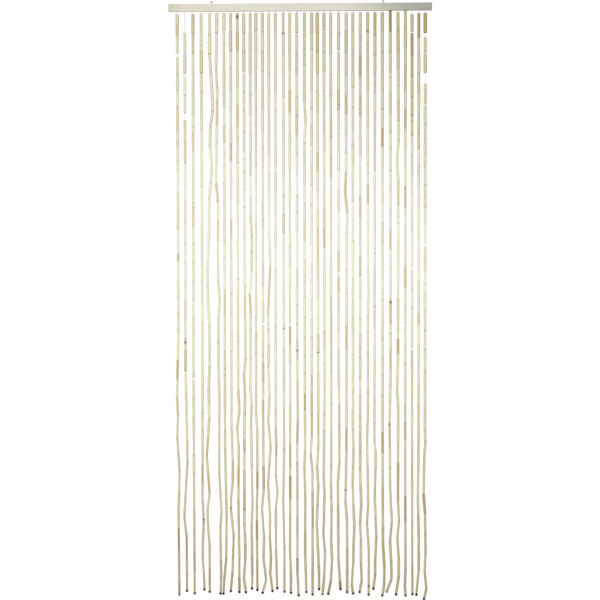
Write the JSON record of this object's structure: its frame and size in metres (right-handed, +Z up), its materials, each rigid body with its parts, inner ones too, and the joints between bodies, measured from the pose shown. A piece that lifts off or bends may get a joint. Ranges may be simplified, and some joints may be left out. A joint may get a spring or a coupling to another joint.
{
  "type": "bamboo tube door curtain",
  "caption": "Door curtain of bamboo tubes strung on clear threads that hang from a drilled wooden batten, with screw eyes to hang it by and a small round bead at each strand's end.",
  "frame": {"origin": "middle of the batten's top face, where the curtain's top edge is held", "axes": "+X along the batten, to the right as seen from the front; -Y out of the front of the curtain; +Z up, along the strands"},
  "size_m": [0.9, 0.0161, 2.0539],
  "materials": {
    "batten_wood": "planed, unvarnished",
    "bamboo": "satin cane skin",
    "nylon_thread": "clear",
    "end_bead": "stained, satin",
    "zinc_steel": "dull zinc"
  },
  "bodies": {
    "root": {"batten": "batten_wood", "left_screw_eye": "zinc_steel", "right_screw_eye": "zinc_steel", "strand_01": "bamboo", "strand_02": "bamboo", "strand_03": "bamboo", "strand_04": "bamboo", "strand_05": "bamboo", "strand_06": "bamboo", "strand_07": "bamboo", "strand_08": "bamboo", "strand_09": "bamboo", "strand_10": "bamboo", "strand_11": "bamboo", "strand_12": "bamboo", "strand_13": "bamboo", "strand_14": "bamboo", "strand_15": "bamboo", "strand_16": "bamboo", "strand_17": "bamboo", "strand_18": "bamboo", "strand_19": "bamboo", "strand_20": "bamboo", "strand_21": "bamboo", "strand_22": "bamboo", "strand_23": "bamboo", "strand_24": "bamboo", "strand_25": "bamboo", "strand_26": "bamboo", "strand_27": "bamboo", "strand_28": "bamboo", "strand_29": "bamboo", "strand_30": "bamboo", "strand_31": "bamboo", "strand_32": "bamboo", "strand_33": "bamboo", "strand_34": "bamboo", "strand_35": "bamboo", "strand_36": "bamboo"}
  },
  "joints": []
}
